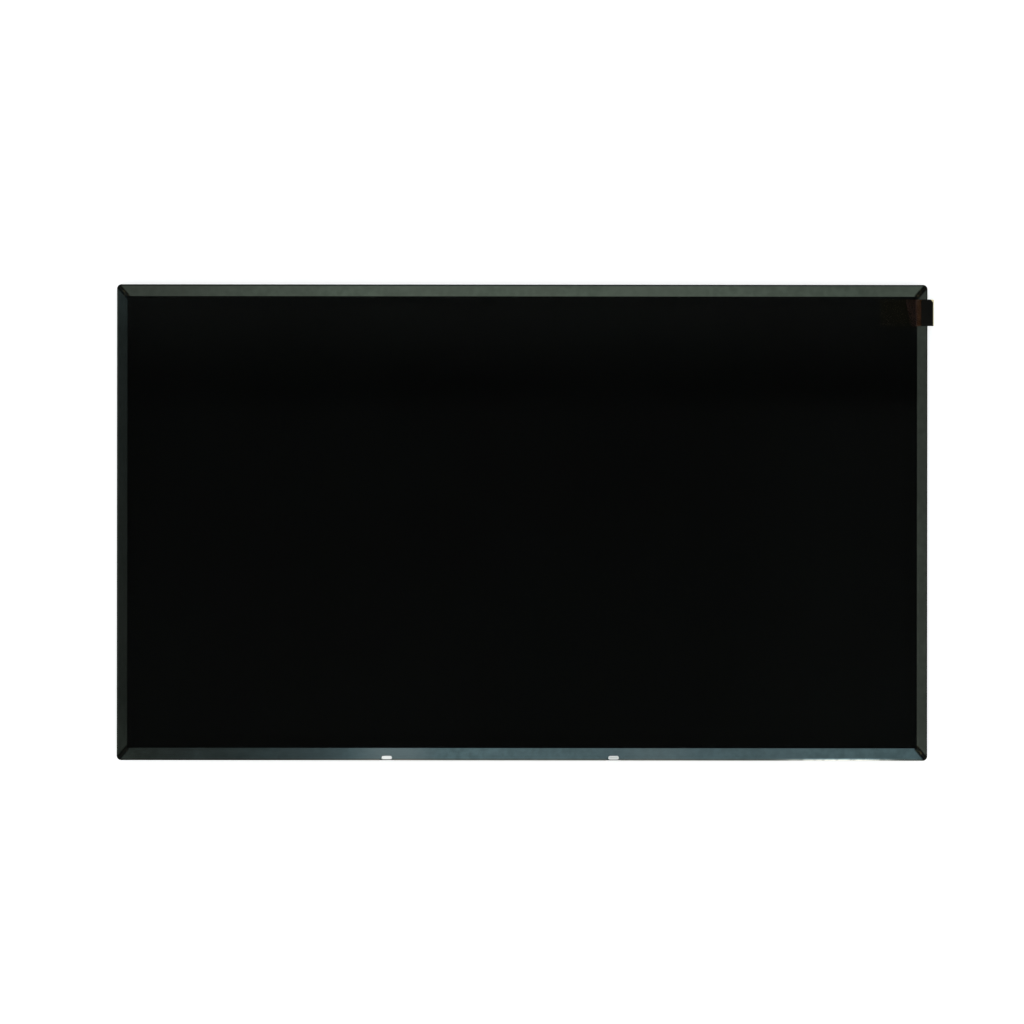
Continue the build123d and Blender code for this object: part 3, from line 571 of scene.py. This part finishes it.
scuff_colour = (0.235, 0.215, 0.19)
scuff_edge = (0.022, 0.004)
lower_flange_edge = (-0.1, 0.05)
on_lower_flange = product(tree, span(tree, bottom_part, *lower_flange_edge), on_top)
for scuff_middle, scuff_strength in ((-0.0565, 0.75), (0.059, 0.35)):
    scuff = span(tree, apart(at["X"], scuff_middle), *scuff_edge, high=scuff_strength)
    coat = tint(tree, product(tree, scuff, on_lower_flange), coat, scuff_colour)

# Painted shade: the folded edge is darkened to stand in for the dark reflection in its bend, with less of it
# on the lower bend right of its left end.
bend_shade_colour = (0.018, 0.020, 0.018)
bend_edge = (0.84, 0.92)
shade_lift_left_end = (-0.13, -0.06)
shade_lift_strength = 0.7
bend_shade_lift = product(tree, span(tree, bottom_part, *bend_edge),
                    span(tree, at["X"], *shade_lift_left_end, high=shade_lift_strength))
painted_bend_shade = product(tree, span(tree, compute(tree, "MAXIMUM", side_part, end_part), *bend_edge), on_top,
                  compute(tree, "SUBTRACT", 1.0, bend_shade_lift))
coat = tint(tree, painted_bend_shade, coat, bend_shade_colour)

# Painted highlight: a near-white streak on the upper part of the lower bend, towards the right, stands in for
# a light's reflection; noise breaks it up.
bend_highlight_colour = (0.95, 0.94, 0.86)
highlight_left, highlight_right = (0.108, 0.139), (0.172, 0.146)
highlight_inner = (0.77, 0.93)
highlight_break_edge = (0.32, 0.55)
highlight_least = 0.55
highlight_breakup = span(tree, noise(tree, scale=260.0, detail=4.0), *highlight_break_edge, low=highlight_least)
painted_bend_highlight = product(tree, span(tree, at["X"], *highlight_left), span(tree, at["X"], *highlight_right),
                 span(tree, bottom_part, *highlight_inner), on_top, highlight_breakup)
coat = tint(tree, painted_bend_highlight, coat, bend_highlight_colour)

# Painted shade: the coined mitre grooves and the corner tips are darkened near black, with painted tan glints
# in patches; they are also rougher there.
mitre_shade_black = (0.010, 0.010, 0.009)
mitre_glint_tan = (0.050, 0.040, 0.022)
mitre_dullness = 0.1
groove_edge = (0.45, 0.22)
groove_end = (-0.3, -0.15)
tip_edge = (0.4, 0.65)
glint_edge = (0.52, 0.72)
groove = product(tree, span(tree, apart(side_part, end_part), *groove_edge),
                 span(tree, corner_part, *groove_end))
painted_mitre_shade = product(tree, compute(tree, "MAXIMUM", groove, span(tree, corner_part, *tip_edge)), on_top)
mitre_shade_and_glint = tint(tree, span(tree, noise(tree, scale=700.0), *glint_edge), mitre_shade_black, mitre_glint_tan)

wave_height = 0.0003
grain_share = 0.007
sheet_wave = compute(tree, "MULTIPLY_ADD", noise(tree, scale=1800.0, detail=3.0), grain_share,
                     noise(tree, scale=16.0, detail=1.0))
coat_dullness = between(tree, marks["Smears"], low=0.12, high=0.15)
feed(tree, shader,
     Base_Color=tint(tree, painted_mitre_shade, coat, mitre_shade_and_glint),
     Roughness=compute(tree, "MULTIPLY_ADD", painted_mitre_shade, mitre_dullness, coat_dullness),
     Normal=relief(tree, sheet_wave, strength=1.0, distance=wave_height))
dress(bezel_steel, "front_bezel")


# Screen film
# A thin clear film that lies on the front polariser, cut just short of the bezel's opening.
# The polariser's gloss shows through it, and it carries faint wipe marks and specks of dust.

film_clear = (0.99, 0.99, 0.99)
film_wiped = (0.95, 0.96, 0.96)
film_dust = (0.80, 0.79, 0.77)
screen_film, tree, shader = make_material("screen_film", Transmission_Weight=1.0, IOR=1.0, Roughness=0.0)
marks = use_group(tree, handling_marks, Smear_Scale=9.0, Speck_Scale=60.0)
wiped = tint(tree, marks["Smears"], film_clear, film_wiped)
feed(tree, shader, Base_Color=tint(tree, marks["Specks"], wiped, film_dust))
dress(screen_film, "screen_film")


# Pull tab
# A clear strip stuck to the film's upper right corner, held by amber tape that runs over the bezel.
# A black grip is stuck on its free end, with one corner clipped, so that it can be found and pulled.

strip_clear = (0.66, 0.59, 0.38)
strip_smeared = (0.62, 0.55, 0.35)
tab_strip, tree, shader = make_material("tab_strip", Transmission_Weight=0.9995, IOR=1.2)
marks = use_group(tree, handling_marks, Smear_Scale=120.0, Speck_Scale=400.0)
feed(tree, shader,
     Base_Color=tint(tree, marks["Smears"], strip_clear, strip_smeared),
     Roughness=between(tree, marks["Smears"], low=0.05, high=0.12))
dress(tab_strip, "pull_tab_strip")

amber_deep = (1.0, 0.61, 0.49)
amber_pale = (1.0, 0.68, 0.58)
tab_tape, tree, shader = make_material("tab_tape", Transmission_Weight=0.9985, IOR=1.2)
wetting = noise(tree, scale=500.0, detail=3.0)
feed(tree, shader,
     Base_Color=tint(tree, wetting, amber_deep, amber_pale),
     Roughness=spread(tree, wetting, low=0.1, high=0.2))
dress(tab_tape, "pull_tab_tape")

grip_black = (0.0018, 0.0017, 0.0012)
grip_brown = (0.0035, 0.0032, 0.0022)
tab_grip, tree, shader = make_material("tab_grip", Specular_IOR_Level=0.06)
moulded = use_group(tree, moulded_skin, Skin_Scale=1800.0)
feed(tree, shader,
     Base_Color=tint(tree, moulded["Flow"], grip_black, grip_brown),
     Roughness=spread(tree, moulded["Skin"], low=0.4, high=0.6),
     Normal=relief(tree, moulded["Skin"], strength=0.3, distance=0.00004))
dress(tab_grip, "pull_tab_grip")


# Floor
# A plain white sheet under the panel. It is open where the panel lies and clear from below,
# so that the back can be looked at in the same light.

floor_reach = 6.0
floor_inset = 0.006
floor_drop = 0.0002
paper_colour = (0.8, 0.8, 0.8, 1.0)
paper_glow = (0.5, 0.5, 0.5, 1.0)


def corners(low_x, low_y, high_x, high_y):
    """The four corners of a rectangle, in order round it."""
    return [(low_x, low_y), (high_x, low_y), (high_x, high_y), (low_x, high_y)]


rim_low, rim_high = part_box("rear_cover")
floor_plan = corners(-floor_reach, -floor_reach, floor_reach, floor_reach)
floor_plan += corners(rim_low.x + floor_inset, rim_low.y + floor_inset,
                      rim_high.x - floor_inset, rim_high.y - floor_inset)
floor_mesh = bpy.data.meshes.new("floor")
floor_mesh.from_pydata([(x, y, rim_low.z - floor_drop) for x, y in floor_plan], [],
                       [(side, (side + 1) % 4, 4 + (side + 1) % 4, 4 + side) for side in range(4)])
floor = bpy.data.objects.new("floor", floor_mesh)
bpy.context.scene.collection.objects.link(floor)
floor_white = bpy.data.materials.new("floor_white")
floor_white.use_nodes = True
tree = floor_white.node_tree
tree.nodes.remove(tree.nodes["Principled BSDF"])
paper = place(tree, "ShaderNodeBsdfDiffuse", {"Color": paper_colour}).outputs[0]
glow = place(tree, "ShaderNodeEmission", {"Color": paper_glow}).outputs[0]
lit_paper = place(tree, "ShaderNodeAddShader", {0: paper, 1: glow}).outputs[0]
ray = place(tree, "ShaderNodeLightPath").outputs
looked_at = compute(tree, "MAXIMUM", ray["Is Camera Ray"],
                    compute(tree, "MAXIMUM", ray["Is Glossy Ray"], ray["Is Transmission Ray"]))
seen_paper = place(tree, "ShaderNodeMixShader", {0: looked_at, 1: paper, 2: lit_paper}).outputs[0]
from_below = place(tree, "ShaderNodeNewGeometry").outputs["Backfacing"]
clear = place(tree, "ShaderNodeBsdfTransparent").outputs[0]
one_sided = place(tree, "ShaderNodeMixShader", {0: from_below, 1: seen_paper, 2: clear}).outputs[0]
tree.links.new(one_sided, tree.nodes["Material Output"].inputs["Surface"])
floor_mesh.materials.append(floor_white)


# Light
# A white tent, dimmer just above the horizon, with a dark card overhead that the gloss screen mirrors.
# Openings in the card light the flanges: bluish for the lower one, grey-green for the upper and right.

studio = bpy.data.worlds.new("studio")
bpy.context.scene.world = studio
studio.use_nodes = True
tree = studio.node_tree
toward = axes_of(tree, place(tree, "ShaderNodeTexCoord").outputs["Generated"])

ground_fade = (-1.0, -0.2)
ground_level = 0.65
horizon_top = (0.14, 0.06)
wall_rise = (0.12, 0.58)
wall_low_level, wall_high_level = 0.4, 1.4
wall_front_level, wall_behind_level = 1.15, 0.85
ground = product(tree, span(tree, toward["Z"], *ground_fade, low=ground_level),
                 span(tree, toward["Z"], *horizon_top))
wall = product(tree, span(tree, toward["Z"], *wall_rise, wall_low_level, wall_high_level),
               span(tree, toward["Y"], -1.0, 1.0, wall_front_level, wall_behind_level))

card_edge = (0.64, 0.87)
rim_edge = (0.36, 0.50)
overhead = span(tree, toward["Z"], *card_edge)
off_middle = compute(tree, "MAXIMUM", compute(tree, "ABSOLUTE", toward["X"]),
                     compute(tree, "ABSOLUTE", toward["Y"]))
on_rim = span(tree, off_middle, *rim_edge)
on_card = product(tree, overhead, compute(tree, "SUBTRACT", 1.0, on_rim))

card_step = (0.030, 0.035)
card_right_end = (0.117, 0.135)
card_lower = product(tree, span(tree, toward["Y"], 0.0, -0.06, 0.088, 0.11),
                     span(tree, toward["X"], 0.05, 0.11, 1.0, 1.4))
card_upper = product(tree, span(tree, toward["Y"], 0.034, 0.068, 0.048, 0.20),
                     span(tree, toward["Y"], 0.070, 0.085, 1.0, 0.3))
card_both = compute(tree, "MULTIPLY_ADD", span(tree, toward["Y"], *card_step),
                    compute(tree, "SUBTRACT", card_upper, card_lower), card_lower)
card_level = product(tree, card_both, span(tree, toward["X"], *card_right_end, 1.0, 0.2))

lower_left_end = span(tree, toward["X"], -0.064, -0.035)
lower_bright_part = product(tree, span(tree, toward["X"], -0.060, -0.036, 0.0, 0.8),
                            span(tree, toward["X"], -0.008, -0.030))
lower_opening = product(tree, span(tree, toward["Y"], 0.08, 0.15),
                        compute(tree, "MULTIPLY_ADD", lower_left_end, lower_bright_part, lower_left_end))
upper_opening = product(tree, span(tree, toward["Y"], -0.09, -0.17), span(tree, toward["X"], -0.125, -0.045),
                        span(tree, toward["X"], 0.02, 0.12, 1.0, 0.7))
right_opening = product(tree, span(tree, toward["X"], -0.12, -0.19),
                        span(tree, toward["Y"], 0.08, -0.045, 0.62, 1.5))

light = None
for colour, amount in (
    ((1.0, 1.0, 1.0), product(tree, compute(tree, "MAXIMUM", ground, wall),
                              compute(tree, "SUBTRACT", 1.0, overhead))),
    ((0.80, 0.80, 0.80), product(tree, overhead, on_rim)),
    ((0.95, 1.05, 0.98), product(tree, on_card, card_level)),
    ((0.535, 0.83, 1.015), product(tree, on_card, lower_opening)),
    ((0.55, 0.665, 0.56), product(tree, on_card, upper_opening)),
    ((0.56, 0.62, 0.55), product(tree, on_card, right_opening)),
):
    part = place(tree, "ShaderNodeVectorMath", {0: colour, "Scale": amount}, operation="SCALE").outputs[0]
    light = part if light is None else place(
        tree, "ShaderNodeVectorMath", {0: light, 1: part}, operation="ADD").outputs[0]
clear_floors = place(tree, "ShaderNodeLightPath").outputs["Transparent Depth"]
through_floor = compute(tree, "GREATER_THAN", clear_floors, 0.5)
tree.links.new(tint(tree, through_floor, light, (1.0, 1.0, 1.0)), tree.nodes["Background"].inputs["Color"])


# Camera
# Straight above the panel and far off, a little left of its middle and above it.

camera_off = (-0.00448, 0.00466)
camera_height = 1.5
camera_turn = 0.0009
view_width = 0.4538
camera_data = bpy.data.cameras.new("camera")
camera_data.lens = camera_data.sensor_width * camera_height / view_width
camera = bpy.data.objects.new("camera", camera_data)
camera.location = (*camera_off, bezel_high.z + camera_height)
camera.rotation_euler = (0.0, 0.0, camera_turn)
bpy.context.scene.collection.objects.link(camera)
bpy.context.scene.camera = camera
bpy.context.scene.view_settings.view_transform = "Standard"
